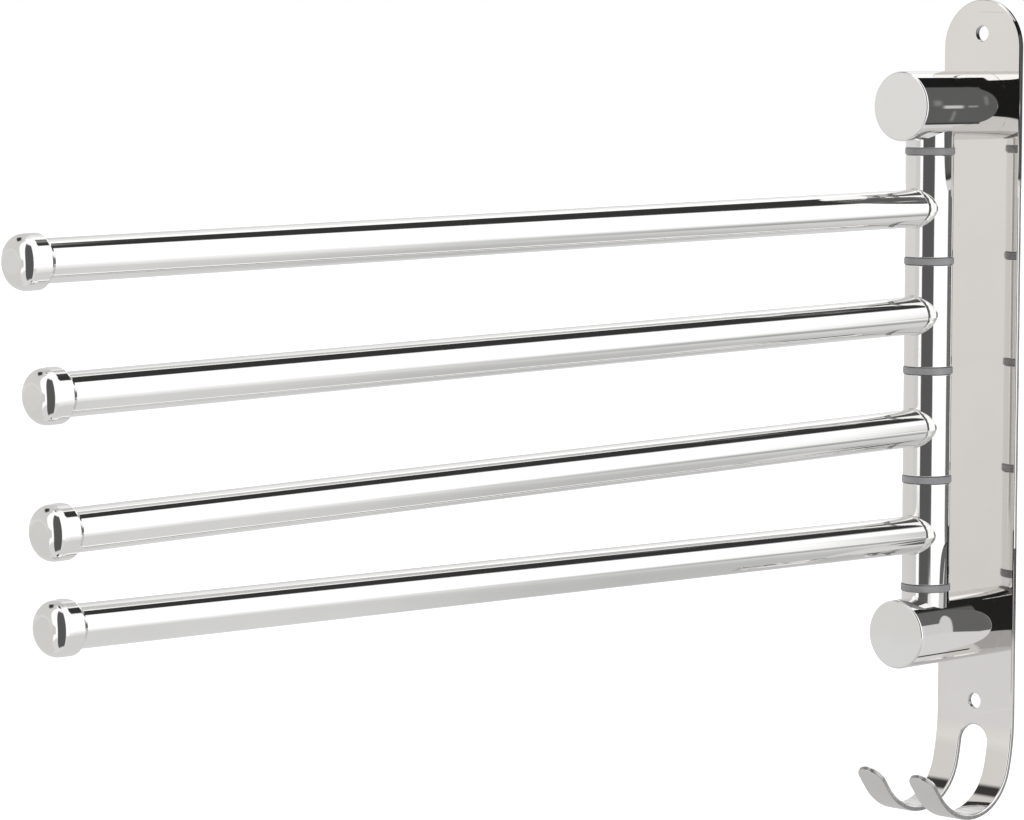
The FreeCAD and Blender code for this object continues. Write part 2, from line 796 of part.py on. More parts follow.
# ---------------------------------------------------------------------------
# Check everything, then write one STEP file per sub-part
# ---------------------------------------------------------------------------
bad = []
for o in doc.Objects:
    if "Invalid" in o.State or "Error" in o.State:
        bad.append("%s %s" % (o.Name, o.State))
for o in PARTS:
    s = o.Shape
    if s.isNull() or not s.isValid() or not s.Solids:
        bad.append("%s has no valid solid" % o.Label)
if bad:
    print("\n".join(bad))
    sys.exit("the model has failed objects")
names = [o.Label for o in PARTS]
if len(names) != len(set(names)):
    sys.exit("two sub-parts share a label")

os.makedirs("parts", exist_ok=True)
for o in PARTS:
    s = o.Shape
    s.exportStep(os.path.join("parts", o.Label + ".step"))
    b = s.BoundBox
    print(
        "%-22s solids %d volume %9.1f  x %7.2f..%7.2f y %8.2f..%7.2f z %8.2f..%8.2f"
        % (o.Label, len(s.Solids), s.Volume, b.XMin, b.XMax, b.YMin, b.YMax, b.ZMin, b.ZMax)
    )
print("wrote %d parts" % len(PARTS))
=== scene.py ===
import math

import bpy
import numpy as np
from mathutils import Matrix, Vector, noise


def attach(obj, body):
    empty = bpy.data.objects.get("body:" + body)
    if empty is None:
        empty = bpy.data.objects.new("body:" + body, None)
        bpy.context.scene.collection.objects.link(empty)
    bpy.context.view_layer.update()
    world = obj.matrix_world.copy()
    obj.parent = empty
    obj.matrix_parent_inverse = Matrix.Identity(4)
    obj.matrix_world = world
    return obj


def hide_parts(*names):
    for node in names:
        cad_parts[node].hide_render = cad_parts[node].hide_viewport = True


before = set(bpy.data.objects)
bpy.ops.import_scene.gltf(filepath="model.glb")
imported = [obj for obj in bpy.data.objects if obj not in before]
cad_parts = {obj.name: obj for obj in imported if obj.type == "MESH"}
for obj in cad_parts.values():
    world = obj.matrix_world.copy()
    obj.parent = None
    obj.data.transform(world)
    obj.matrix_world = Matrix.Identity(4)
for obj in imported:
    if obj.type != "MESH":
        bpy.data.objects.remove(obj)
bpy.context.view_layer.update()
MM = 0.001

# ---------------------------------------------------------------------------
# Sizes, in millimetres, the same as those of the CAD model
# ---------------------------------------------------------------------------
PLATE_W, PLATE_T = 31.2, 1.8
SCREW_HALF, SCREW_R = 108.75, 2.5
CROWN_Z = 104.1
SLOT_W, SLOT_CROWN_Z = 11.6, -122.45
BEND_START_Z = -112.4
BENDS = [
    ("arc", 70.0, 14.2, 1),
    ("arc", 18.5, 62.3, 1),
    ("arc", 21.8, 66.3, 1),
    ("line", 4.3),
    ("arc", 18.0, 10.3, -1),
    ("line", 1.9),
]
POST_Z = {"upper": 85.65, "lower": -82.85}
POST_R, POST_L, FACE_T, FACE_ROUND = 11.0, 40.5, 1.6, 0.6
TENON_R = 4.04
COL_Y = -(PLATE_T + 25.6)
COL_R = 7.7
WASH_R, WASH_T, WASH_TOP, PITCH, PLAY = 7.95, 2.2, 71.35, 35.0, 0.1
ARM_R, ARM_L = 6.0, 355.5
SWING = [-2.59, -1.17, -0.78, -0.57]
RISE = [-0.92, -1.02, -0.94, 0.60]
OFFSET = [-0.5, 0.4, -0.7, -0.25]
CAP_R, CAP_L, CAP_ROUND, CAP_BEVEL = 7.6, 9.8, 4.4, 1.6


# ---------------------------------------------------------------------------
# Materials
# ---------------------------------------------------------------------------
def new_material(name):
    m = bpy.data.materials.new(name)
    m.use_nodes = True
    nt = m.node_tree
    nt.nodes.clear()
    out = nt.nodes.new("ShaderNodeOutputMaterial")
    bsdf = nt.nodes.new("ShaderNodeBsdfPrincipled")
    nt.links.new(bsdf.outputs["BSDF"], out.inputs["Surface"])
    return m, nt, bsdf


def noise_node(nt, scale, detail=2.0, rough=0.5, stretch=None):
    co = nt.nodes.new("ShaderNodeTexCoord")
    mp = nt.nodes.new("ShaderNodeMapping")
    if stretch:
        mp.inputs["Scale"].default_value = stretch
    nz = nt.nodes.new("ShaderNodeTexNoise")
    nz.inputs["Scale"].default_value = scale
    nz.inputs["Detail"].default_value = detail
    nz.inputs["Roughness"].default_value = rough
    nt.links.new(co.outputs["Object"], mp.inputs["Vector"])
    nt.links.new(mp.outputs["Vector"], nz.inputs["Vector"])
    return nz


def ramp(nt, source, stops):
    r = nt.nodes.new("ShaderNodeValToRGB")
    cr = r.color_ramp
    while len(cr.elements) < len(stops):
        cr.elements.new(0.5)
    for e, (p, c) in zip(cr.elements, stops):
        e.position = p
        e.color = (*c, 1.0) if len(c) == 3 else c
    nt.links.new(source, r.inputs["Fac"])
    return r


def rough_range(nt, source, lo, hi, a=0.3, b=0.7):
    mr = nt.nodes.new("ShaderNodeMapRange")
    mr.inputs["From Min"].default_value = a
    mr.inputs["From Max"].default_value = b
    mr.inputs["To Min"].default_value = lo
    mr.inputs["To Max"].default_value = hi
    nt.links.new(source, mr.inputs["Value"])
    return mr


def bump(nt, bsdf, source, strength, distance):
    b = nt.nodes.new("ShaderNodeBump")
    b.inputs["Strength"].default_value = strength
    b.inputs["Distance"].default_value = distance
    nt.links.new(source, b.inputs["Height"])
    nt.links.new(b.outputs["Normal"], bsdf.inputs["Normal"])
    return b


def mirror_steel(name, stretch, lo=0.03, hi=0.075, tone=(0.875, 0.865, 0.85), wave=0.05):
    """Polished stainless steel: a faint cloud of tone, polishing lines in the
    gloss, and the shallow waviness that sheet and tube keep after polishing."""
    m, nt, b = new_material(name)
    b.inputs["Metallic"].default_value = 1.0
    cloud = noise_node(nt, 38.0, 3.0, 0.55)
    dark = tuple(c * 0.965 for c in tone)
    r = ramp(nt, cloud.outputs["Fac"], [(0.3, dark), (0.7, tone)])
    nt.links.new(r.outputs["Color"], b.inputs["Base Color"])
    lines = noise_node(nt, 900.0, 3.0, 0.6, stretch)
    mr = rough_range(nt, lines.outputs["Fac"], lo, hi)
    nt.links.new(mr.outputs["Result"], b.inputs["Roughness"])
    waves = noise_node(nt, 55.0, 1.0, 0.4)
    bump(nt, b, waves.outputs["Fac"], wave, 0.0003)
    return m


STEEL_PLATE = mirror_steel("steel_plate", (0.25, 1.0, 3.0), 0.03, 0.06, (0.89, 0.868, 0.846), 0.05)
STEEL_POST = mirror_steel("steel_post", (1.0, 0.06, 1.0), 0.025, 0.06, (0.875, 0.868, 0.858), 0.05)
STEEL_FACE = mirror_steel("steel_face", (1.0, 1.0, 1.0), 0.03, 0.06, (0.915, 0.912, 0.905), 0.03)
STEEL_COLUMN = mirror_steel("steel_column", (1.0, 1.0, 0.08), 0.04, 0.09, (0.875, 0.868, 0.858), 0.06)
STEEL_ARM = mirror_steel("steel_arm", (1.0, 0.05, 1.0), 0.03, 0.07, (0.89, 0.885, 0.875), 0.04)
STEEL_CAP = mirror_steel("steel_cap", (1.0, 1.0, 1.0), 0.04, 0.08, (0.875, 0.868, 0.858), 0.03)


def weld_material():
    m, nt, b = new_material("steel_weld")
    b.inputs["Metallic"].default_value = 1.0
    cloud = noise_node(nt, 420.0, 4.0, 0.6)
    r = ramp(nt, cloud.outputs["Fac"], [(0.25, (0.74, 0.72, 0.69)), (0.6, (0.89, 0.885, 0.875))])
    nt.links.new(r.outputs["Color"], b.inputs["Base Color"])
    mr = rough_range(nt, cloud.outputs["Fac"], 0.22, 0.10)
    nt.links.new(mr.outputs["Result"], b.inputs["Roughness"])
    ripple = noise_node(nt, 900.0, 2.0, 0.5)
    bump(nt, b, ripple.outputs["Fac"], 0.25, 0.0002)
    return m


def plain_steel():
    """Turned, unpolished steel of the hidden parts and of the riveted tenons."""
    m, nt, b = new_material("steel_turned")
    b.inputs["Metallic"].default_value = 1.0
    rings = nt.nodes.new("ShaderNodeTexNoise")
    rings.inputs["Scale"].default_value = 700.0
    rings.inputs["Detail"].default_value = 4.0
    co = nt.nodes.new("ShaderNodeTexCoord")
    nt.links.new(co.outputs["Object"], rings.inputs["Vector"])
    r = ramp(nt, rings.outputs["Fac"], [(0.3, (0.50, 0.50, 0.50)), (0.7, (0.66, 0.65, 0.64))])
    nt.links.new(r.outputs["Color"], b.inputs["Base Color"])
    mr = rough_range(nt, rings.outputs["Fac"], 0.28, 0.42)
    nt.links.new(mr.outputs["Result"], b.inputs["Roughness"])
    bump(nt, b, rings.outputs["Fac"], 0.2, 0.0001)
    return m


def washer_material():
    """Grey moulded plastic, turned on its edge: matte, with a fine grain."""
    m, nt, b = new_material("washer_grey")
    grain = noise_node(nt, 2600.0, 5.0, 0.65)
    soft = noise_node(nt, 160.0, 2.0, 0.5)
    r = ramp(nt, soft.outputs["Fac"], [(0.3, (0.200, 0.198, 0.205)), (0.7, (0.265, 0.262, 0.270))])
    nt.links.new(r.outputs["Color"], b.inputs["Base Color"])
    mr = rough_range(nt, grain.outputs["Fac"], 0.48, 0.66)
    nt.links.new(mr.outputs["Result"], b.inputs["Roughness"])
    bump(nt, b, grain.outputs["Fac"], 0.35, 0.00012)
    return m


def bush_material():
    m, nt, b = new_material("bush_white")
    grain = noise_node(nt, 900.0, 3.0, 0.5)
    r = ramp(nt, grain.outputs["Fac"], [(0.3, (0.74, 0.74, 0.71)), (0.7, (0.82, 0.82, 0.80))])
    nt.links.new(r.outputs["Color"], b.inputs["Base Color"])
    mr = rough_range(nt, grain.outputs["Fac"], 0.35, 0.5)
    nt.links.new(mr.outputs["Result"], b.inputs["Roughness"])
    return m


def cut_edge():
    """The sheared edge of the sheet: duller and darker than its faces."""
    m, nt, b = new_material("steel_cut_edge")
    b.inputs["Metallic"].default_value = 1.0
    nz = noise_node(nt, 1200.0, 3.0, 0.6, (1.0, 1.0, 0.12))
    r = ramp(nt, nz.outputs["Fac"], [(0.3, (0.34, 0.34, 0.345)), (0.7, (0.52, 0.515, 0.51))])
    nt.links.new(r.outputs["Color"], b.inputs["Base Color"])
    mr = rough_range(nt, nz.outputs["Fac"], 0.22, 0.38)
    nt.links.new(mr.outputs["Result"], b.inputs["Roughness"])
    return m


CUT = cut_edge()
WELD = weld_material()
TURNED = plain_steel()
WASHER = washer_material()
BUSH = bush_material()


# ---------------------------------------------------------------------------
# Mesh building: faces with exact normals, so that reflections run smoothly
# ---------------------------------------------------------------------------
class Builder:
    def __init__(self):
        self.verts, self.index, self.faces, self.normals = [], {}, [], []
        self.slots, self.slot_now = [], 0

    def vert(self, p):
        key = (round(p[0], 4), round(p[1], 4), round(p[2], 4))
        i = self.index.get(key)
        if i is None:
            i = self.index[key] = len(self.verts)
            self.verts.append((p[0] * MM, p[1] * MM, p[2] * MM))
        return i

    def face(self, pts, nrm):
        """pts in millimetres, one normal for each corner."""
        ids = [self.vert(p) for p in pts]
        keep, kn = [], []
        for i, n in zip(ids, nrm):
            if i not in keep:
                keep.append(i)
                kn.append(n)
        if len(keep) < 3:
            return
        v = [Vector(self.verts[i]) for i in keep]
        g = Vector((0, 0, 0))
        for a in range(1, len(v) - 1):
            g += (v[a] - v[0]).cross(v[a + 1] - v[0])
        s = sum((Vector(n) for n in kn), Vector((0, 0, 0)))
        if g.dot(s) < 0:
            keep.reverse()
            kn.reverse()
        self.faces.append(keep)
        self.slots.append(self.slot_now)
        self.normals.extend([tuple(Vector(n).normalized()) for n in kn])

    def build(self, name, material, body, replaces=(), exact=True, second=None):
        me = bpy.data.meshes.new(name)
        me.from_pydata(self.verts, [], self.faces)
        me.update()
        me.polygons.foreach_set("use_smooth", [True] * len(me.polygons))
        if exact:
            me.normals_split_custom_set(self.normals)
        me.materials.append(material)
        if second:
            me.materials.append(second)
            me.polygons.foreach_set("material_index", self.slots)
        o = bpy.data.objects.new(name, me)
        bpy.context.scene.collection.objects.link(o)
        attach(o, body)
        if replaces:
            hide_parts(*replaces)
        return o


def line_seg(p, q, parts=1):
    """Samples (r, a, nr, na) of a straight profile edge from p to q; the
    solid lies to the left when walking from p to q with r right, a up."""
    dr, da = q[0] - p[0], q[1] - p[1]
    ln = math.hypot(dr, da)
    nr, na = da / ln, -dr / ln
    return [(p[0] + dr * i / parts, p[1] + da * i / parts, nr, na) for i in range(parts + 1)]


def arc_seg(c, rad, a0, a1, parts=10, out=1):
    """Samples of a profile arc about c; the angles are those of the normal."""
    res = []
    for i in range(parts + 1):
        a = math.radians(a0 + (a1 - a0) * i / parts)
        res.append((c[0] + rad * math.cos(a), c[1] + rad * math.sin(a), out * math.cos(a), out * math.sin(a)))
    return res


def axes_of(direction):
    d = Vector(direction).normalized()
    t = Vector((0, 0, 1)) if abs(d.z) < 0.9 else Vector((1, 0, 0))
    e1 = d.cross(t).normalized()
    e2 = e1.cross(d).normalized()
    return d, e1, e2


def lathe(builder, origin, direction, segments, count=160, wobble=None):
    d, e1, e2 = axes_of(direction)
    o = Vector(origin)
    for seg in segments:
        rings = []
        for r, a, nr, na in seg:
            ring = []
            for k in range(count):
                t = 2 * math.pi * k / count
                u = e1 * math.cos(t) + e2 * math.sin(t)
                rr = r + (wobble(t, a) if wobble else 0.0)
                ring.append((o + u * rr + d * a, u * nr + d * na))
            rings.append(ring)
        for i in range(len(rings) - 1):
            for k in range(count):
                k2 = (k + 1) % count
                c = [rings[i][k], rings[i][k2], rings[i + 1][k2], rings[i + 1][k]]
                builder.face([tuple(p) for p, _ in c], [n for _, n in c])


# ---------------------------------------------------------------------------
# Wall plate: built flat, as the blank it is stamped from, then bent
# ---------------------------------------------------------------------------
def bend_table():
    """Along the wall side of the strip: (length, y, z, heading in degrees)."""
    y, z, ang, s = 0.0, BEND_START_Z, 0.0, -BEND_START_Z
    rows = [(-200.0, 0.0, 200.0, 0.0), (s, y, z, ang)]
    for item in BENDS:
        if item[0] == "line":
            n, length, dang = 4, item[1], 0.0
        else:
            n = max(8, int(item[2] * 6))
            length, dang = item[1] * math.radians(item[2]), item[3] * item[2]
        for i in range(n):
            step, da = length / n, dang / n
            mid = math.radians(ang + da / 2)
            chord = step if not da else 2 * (step / math.radians(abs(da))) * math.sin(math.radians(abs(da)) / 2)
            y += -math.sin(mid) * chord
            z += -math.cos(mid) * chord
            ang += da
            s += step
            rows.append((s, y, z, ang))
    return np.array(rows)


TABLE = bend_table()
S_END = TABLE[-1, 0]


def bent(x, s, d, n=(0, 0, 1)):
    """Point of the blank (x across, s down, d from the wall side) on the bent
    strip, and a normal given as (across, down, towards the room)."""
    if s <= -BEND_START_Z:
        y, z, a = 0.0, -s, 0.0
    else:
        y = float(np.interp(s, TABLE[:, 0], TABLE[:, 1]))
        z = float(np.interp(s, TABLE[:, 0], TABLE[:, 2]))
        a = math.radians(float(np.interp(s, TABLE[:, 0], TABLE[:, 3])))
    ny, nz = -math.cos(a), math.sin(a)
    hy, hz = -math.sin(a), -math.cos(a)
    p = (x, y + ny * d, z + nz * d)
    v = (n[0], n[1] * hy + n[2] * ny, n[1] * hz + n[2] * nz)
    return p, v


def build_plate():
    b = Builder()
    w, t, e = PLATE_W / 2, PLATE_T, 0.5
    sr = SLOT_W / 2
    s_crown, s_slot = -CROWN_Z, -SLOT_CROWN_Z + 0.03
    xc, rt = (w + sr) / 2, (w - sr) / 2
    s_tip = S_END - rt
    s_flat = -BEND_START_Z
    crown_n, slot_n, tip_n = 64, 28, 20
    # rows of the side edges from the crown to the tip
    side = [s_crown] + list(np.linspace(s_crown, s_flat, 12)[1:])
    top_slot = s_slot - (sr + e)
    side += list(np.linspace(s_flat, top_slot, 8)[1:])
    slot_ang = [math.pi / 2 * (1 - i / slot_n) for i in range(1, slot_n + 1)]
    side += [s_slot - (sr + e) * math.sin(a) for a in slot_ang]
    straight = list(np.linspace(s_slot, s_tip, 170)[1:])
    side += straight
    prong = [s_slot] + straight

    def outline(o):
        """Closed outline, o inside the edge: (x, s, nx, ns)."""
        pts = []
        for i in range(crown_n + 1):
            a = math.pi * (1 - i / crown_n)
            pts.append(((w - o) * math.cos(a), s_crown - (w - o) * math.sin(a), math.cos(a), -math.sin(a)))
        pts += [(w - o, s, 1.0, 0.0) for s in side[1:]]
        for i in range(1, 2 * tip_n + 1):
            a = math.pi * i / (2 * tip_n)
            pts.append((xc + (rt - o) * math.cos(a), s_tip + (rt - o) * math.sin(a), math.cos(a), math.sin(a)))
        pts += [(sr + o, s, -1.0, 0.0) for s in reversed(prong[:-1])]
        full = [math.pi * i / (2 * slot_n) for i in range(1, 2 * slot_n + 1)]
        for a in full:
            pts.append(((sr + o) * math.cos(a), s_slot - (sr + o) * math.sin(a), -math.cos(a), math.sin(a)))
        pts += [(-(sr + o), s, 1.0, 0.0) for s in prong[1:]]
        for i in range(1, 2 * tip_n + 1):
            a = math.pi * (1 - i / (2 * tip_n))
            pts.append((-xc + (rt - o) * math.cos(a), s_tip + (rt - o) * math.sin(a), math.cos(a), math.sin(a)))
        pts += [(-(w - o), s, -1.0, 0.0) for s in reversed(side[1:-1])]
        return pts

    def circle(cx, cs, r, o, n=64):
        """Edge of a hole, o outside the edge."""
        return [
            (cx + (r + o) * math.cos(2 * math.pi * i / n), cs + (r + o) * math.sin(2 * math.pi * i / n),
             -math.cos(2 * math.pi * i / n), -math.sin(2 * math.pi * i / n))
            for i in range(n)
        ]

    def rim(loop, edge):
        """Rounded edge all round one loop, from the wall side to the room."""
        steps = []
        for i in range(7):
            a = math.pi / 2 * i / 6
            steps.append((edge * (1 - math.sin(a)), edge * (1 - math.cos(a)), math.sin(a), -math.cos(a)))
        for i in range(7):
            a = math.pi / 2 * i / 6
            steps.append((edge * (1 - math.cos(a)), t - edge * (1 - math.sin(a)), math.cos(a), math.sin(a)))
        rings = []
        for o, d, side_n, out_n in steps:
            rings.append([bent(x, s, d, (nx * side_n, ns * side_n, out_n)) for x, s, nx, ns in loop(o)])
        for i in range(len(rings) - 1):
            n = len(rings[i])
            b.slot_now = 1 if 4 <= i <= 6 else 0
            for k in range(n):
                k2 = (k + 1) % n
                c = [rings[i][k], rings[i][k2], rings[i + 1][k2], rings[i + 1][k]]
                b.face([p for p, _ in c], [v for _, v in c])
        b.slot_now = 0

    holes = [
        (0.0, -SCREW_HALF, SCREW_R, 0.25),
        (0.0, SCREW_HALF, SCREW_R, 0.25),
        (0.0, -POST_Z["upper"], TENON_R, 0.1),
        (0.0, -POST_Z["lower"], TENON_R, 0.1),
    ]
    rim(outline, e)
    for cx, cs, r, edge in holes:
        rim(lambda o, c=(cx, cs, r): circle(c[0], c[1], c[2], o), edge)

    # the two broad faces
    for d, out in ((0.0, -1.0), (t, 1.0)):
        def put(pts):
            c = [bent(x, s, d, (0, 0, out)) for x, s in pts]
            b.face([p for p, _ in c], [v for _, v in c])

        # flat part, filled between the outline and the holes
        import bmesh
        bm = bmesh.new()

        def loop_edges(pts):
            vs = [bm.verts.new((x, s, 0)) for x, s in pts]
            return [bm.edges.new((vs[i], vs[(i + 1) % len(vs)])) for i in range(len(vs))]

        o = outline(e)
        flat = [(x, s) for x, s, _, _ in o if s <= s_flat + 1e-6]
        edges = loop_edges(flat)
        for cx, cs, r, edge in holes:
            edges += loop_edges([(x, s) for x, s, _, _ in circle(cx, cs, r, edge)])
        bmesh.ops.triangle_fill(bm, use_beauty=True, use_dissolve=False, edges=edges, normal=(0, 0, 1))
        for f in bm.faces:
            put([(v.co.x, v.co.y) for v in f.verts])
        bm.free()
        # bent part above the slot
        rows = [s for s in side if s_flat - 1e-6 <= s <= top_slot + 1e-6]
        we = w - e
        for s0, s1 in zip(rows, rows[1:]):
            last = abs(s1 - top_slot) < 1e-6
            if last:
                put([(-we, s0), (we, s0), (we, s1), (0.0, s1), (-we, s1)])
            else:
                put([(-we, s0), (we, s0), (we, s1), (-we, s1)])
        # beside the round top of the slot
        ring = [(0.0, top_slot)] + [((sr + e) * math.cos(a), s_slot - (sr + e) * math.sin(a)) for a in slot_ang]
        for (x0, s0), (x1, s1) in zip(ring, ring[1:]):
            for m in (-1, 1):
                put([(m * x0, s0), (m * we, s0), (m * we, s1), (m * x1, s1)])
        # prongs
        for s0, s1 in zip(prong, prong[1:]):
            for m in (-1, 1):
                put([(m * (sr + e), s0), (m * we, s0), (m * we, s1), (m * (sr + e), s1)])
        re = rt - e
        for i in range(tip_n):
            a0, a1 = math.pi / 2 * i / tip_n, math.pi / 2 * (i + 1) / tip_n
            for m in (-1, 1):
                put([
                    (m * (xc + re * math.cos(a0)), s_tip + re * math.sin(a0)),
                    (m * (xc - re * math.cos(a0)), s_tip + re * math.sin(a0)),
                    (m * (xc - re * math.cos(a1)), s_tip + re * math.sin(a1)),
                    (m * (xc + re * math.cos(a1)), s_tip + re * math.sin(a1)),
                ])
    return b.build("wall_plate_sheet", STEEL_PLATE, "wall_frame", ("wall_plate",), second=CUT)


build_plate()

# ---------------------------------------------------------------------------
# Posts and their faces
# ---------------------------------------------------------------------------
OUT = (0, -1, 0)


def build_post(tag):
    z = POST_Z[tag]
    b = Builder()
    length = POST_L - FACE_T
    lathe(b, (0, -PLATE_T, z), OUT, [
        line_seg((POST_R - 0.12, 0.0), (POST_R, 0.12)),
        line_seg((POST_R, 0.12), (POST_R, length), 8),
    ], 224)
    b.build(tag + "_post_shell", STEEL_POST, "wall_frame", (tag + "_post_tube",))
    b = Builder()
    r = FACE_ROUND
    lathe(b, (0, -PLATE_T, z), OUT, [
        line_seg((POST_R, length), (POST_R, POST_L - r)),
        arc_seg((POST_R - r, POST_L - r), r, 0, 90, 10),
        line_seg((POST_R - r, POST_L), (0.0, POST_L), 3),
    ], 224)
    b.build(tag + "_post_cover", STEEL_FACE, "wall_frame", (tag + "_post_face",))


for tag in ("upper", "lower"):
    build_post(tag)

# ---------------------------------------------------------------------------
# Column: stubs, washers, sleeves
# ---------------------------------------------------------------------------
UP = (0, 0, 1)


def build_stub(tag):
    up = tag == "upper"
    z_free = WASH_TOP + WASH_T / 2 if up else WASH_TOP - 4 * PITCH - WASH_T / 2
    z_post = POST_Z[tag]
    span = abs(z_post - z_free)
    b = Builder()
    c = 0.2
    lathe(b, (0, COL_Y, z_free), UP if up else (0, 0, -1), [
        line_seg((4.1, 0.0), (COL_R - c, 0.0))[::-1],
        [(r, a, nr, na) for r, a, nr, na in arc_seg((COL_R - c, c), c, -90, 0, 5)],
        line_seg((COL_R, c), (COL_R, span - 2.5), 4),
    ], 192)
    b.build(tag + "_stub_shell", STEEL_COLUMN, "wall_frame", (tag + "_column_stub",))


for tag in ("upper", "lower"):
    build_stub(tag)

for k in range(5):
    z = WASH_TOP - k * PITCH - WASH_T / 2
    b = Builder()
    c = 0.3
    lathe(b, (0, COL_Y, z), UP, [
        line_seg((4.1, 0.0), (WASH_R - c, 0.0))[::-1],
        arc_seg((WASH_R - c, c), c, -90, 0, 6),
        line_seg((WASH_R, c), (WASH_R, WASH_T - c), 3),
        arc_seg((WASH_R - c, WASH_T - c), c, 0, 90, 6),
        line_seg((WASH_R - c, WASH_T), (4.1, WASH_T)),
        line_seg((4.1, WASH_T), (4.1, 0.0)),
    ], 160)
    b.build("washer_ring_%d" % (k + 1), WASHER, "wall_frame", ("washer_%d" % (k + 1),))

SLEN = PITCH - WASH_T - 2 * PLAY
for k in range(4):
    n = k + 1
    zlow = WASH_TOP - n * PITCH + WASH_T / 2 + PLAY
    b = Builder()
    c = 0.28
    lathe(b, (0, COL_Y, zlow), UP, [
        line_seg((6.25, 0.0), (COL_R - c, 0.0))[::-1],
        arc_seg((COL_R - c, c), c, -90, 0, 6),
        line_seg((COL_R, c), (COL_R, SLEN - c), 12),
        arc_seg((COL_R - c, SLEN - c), c, 0, 90, 6),
        line_seg((COL_R - c, SLEN), (6.25, SLEN)),
        line_seg((6.25, SLEN), (6.25, 0.0)),
    ], 208)
    b.build("sleeve_shell_%d" % n, STEEL_COLUMN, "arm_%d" % n, ("sleeve_%d" % n,))

    # arm
    g, r = math.radians(SWING[k]), math.radians(RISE[k])
    D = Vector((math.sin(g) * math.cos(r), -math.cos(g) * math.cos(r), math.sin(r)))
    root = Vector((0, COL_Y, WASH_TOP - n * PITCH + PITCH / 2 + OFFSET[k]))
    b = Builder()
    lathe(b, root, D, [line_seg((ARM_R, 6.0), (ARM_R, ARM_L - 2.0), 24)], 176)
    b.build("arm_bar_%d" % n, STEEL_ARM, "arm_%d" % n, ("arm_tube_%d" % n,))

    # weld bead: convex ring on the line where arm and sleeve meet
    d, e1, e2 = axes_of(D)
    axis = Vector((0, COL_Y, 0))

    def on_sleeve(rho, phi):
        q = root + (e1 * math.cos(phi) + e2 * math.sin(phi)) * rho
        px, py = q.x - axis.x, q.y - axis.y
        dx, dy = d.x, d.y
        A, B, C = dx * dx + dy * dy, 2 * (px * dx + py * dy), px * px + py * py - COL_R ** 2
        disc = max(B * B - 4 * A * C, 0.0)
        return q, (-B + math.sqrt(disc)) / (2 * A)

    b = Builder()
    cnt, sec = 160, 12
    grid = []
    for i in range(cnt):
        phi = 2 * math.pi * i / cnt
        flank = abs(math.cos(phi))
        uneven = 1.0 + 0.10 * noise.noise(Vector((math.cos(phi) * 2.2, math.sin(phi) * 2.2, n * 3.1)))
        wide = (0.42 + 0.50 * flank ** 2) * uneven
        lift = (0.45 + 1.7 * flank ** 2) * uneven
        q0, h0 = on_sleeve(ARM_R, phi)
        q1, h1 = on_sleeve(ARM_R + wide, phi)
        a0, a1 = q0 + d * (h0 + lift), q1 + d * h1
        side = e1 * math.cos(phi) + e2 * math.sin(phi)
        chord = a1 - a0
        tang = (e2 * math.cos(phi) - e1 * math.sin(phi))
        nrm = chord.cross(tang).normalized()
        if nrm.dot(side + d) < 0:
            nrm = -nrm
        col = []
        for j in range(sec + 1):
            t = j / sec
            swell = 0.17 * chord.length * math.sin(math.pi * t) ** 0.8 if 0 < j < sec else -0.04
            ripple = 0.03 * math.sin(phi * 24 + 0.8 * math.sin(phi * 3)) * math.sin(math.pi * t)
            col.append(a0 + chord * t + nrm * (swell + ripple))
        grid.append(col)
    for i in range(cnt):
        i2 = (i + 1) % cnt
        for j in range(sec):
            quad = [grid[i][j], grid[i2][j], grid[i2][j + 1], grid[i][j + 1]]
            phi = 2 * math.pi * (i + 0.5) / cnt
            guess = (e1 * math.cos(phi) + e2 * math.sin(phi)) + d
            b.face([tuple(p) for p in quad], [guess] * 4)
    b.build("weld_ring_%d" % n, WELD, "arm_%d" % n, ("weld_bead_%d" % n,), exact=False)

    # end cap
    b = Builder()
    cr, cb = CAP_ROUND, CAP_BEVEL
    lip = ARM_R + 0.29
    L0 = ARM_L
    face = [((CAP_R - cr) * (1 - i / 3), L0, 0.0, 1.0) for i in range(4)]
    lathe(b, root, D, [
        line_seg((ARM_R - 0.02, L0 - CAP_L + 0.05), (ARM_R + 0.1, L0 - CAP_L)),
        line_seg((ARM_R + 0.1, L0 - CAP_L), (lip, L0 - CAP_L)),
        line_seg((lip, L0 - CAP_L), (CAP_R - 0.12 * (CAP_R - lip), L0 - CAP_L + cb * 0.88), 3),
        line_seg((CAP_R - 0.12 * (CAP_R - lip), L0 - CAP_L + cb * 0.88), (CAP_R, L0 - CAP_L + cb + 0.25)),
        line_seg((CAP_R, L0 - CAP_L + cb + 0.25), (CAP_R, L0 - cr), 3),
        arc_seg((CAP_R - cr, L0 - cr), cr, 0, 90, 30),
        face,
    ], 176)
    b.build("cap_shell_%d" % n, STEEL_CAP, "arm_%d" % n, ("end_cap_%d" % n,))

# ---------------------------------------------------------------------------
# CAD nodes that stay as they are: their materials
# ---------------------------------------------------------------------------
for name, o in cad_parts.items():
    if o.hide_render:
        continue
    if name.endswith("_post_set_screw"):
        mat = STEEL_FACE
    elif name.startswith("sleeve_bush"):
        mat = BUSH
    else:
        mat = TURNED
    for s in o.material_slots:
        s.material = mat
    if not o.material_slots:
        o.data.materials.append(mat)

# ---------------------------------------------------------------------------
# Studio: a white tent with a few dark flags. The tent is one big dome that
# only the polished steel sees; the camera sees a plain white room.
# ---------------------------------------------------------------------------
scene = bpy.context.scene
scene.view_settings.view_transform = "Standard"
scene.view_settings.look = "None"
scene.view_settings.exposure = 0.0
scene.view_settings.gamma = 1.0

world = bpy.data.worlds.new("studio")
scene.world = world
world.use_nodes = True
bg = world.node_tree.nodes["Background"]
bg.inputs["Color"].default_value = (1, 1, 1, 1)
bg.inputs["Strength"].default_value = 1.0


def grey(v):
    """Light that shows as the grey value v after one bounce off the steel."""
    return (v / 255.0) ** 2.2 / 0.86


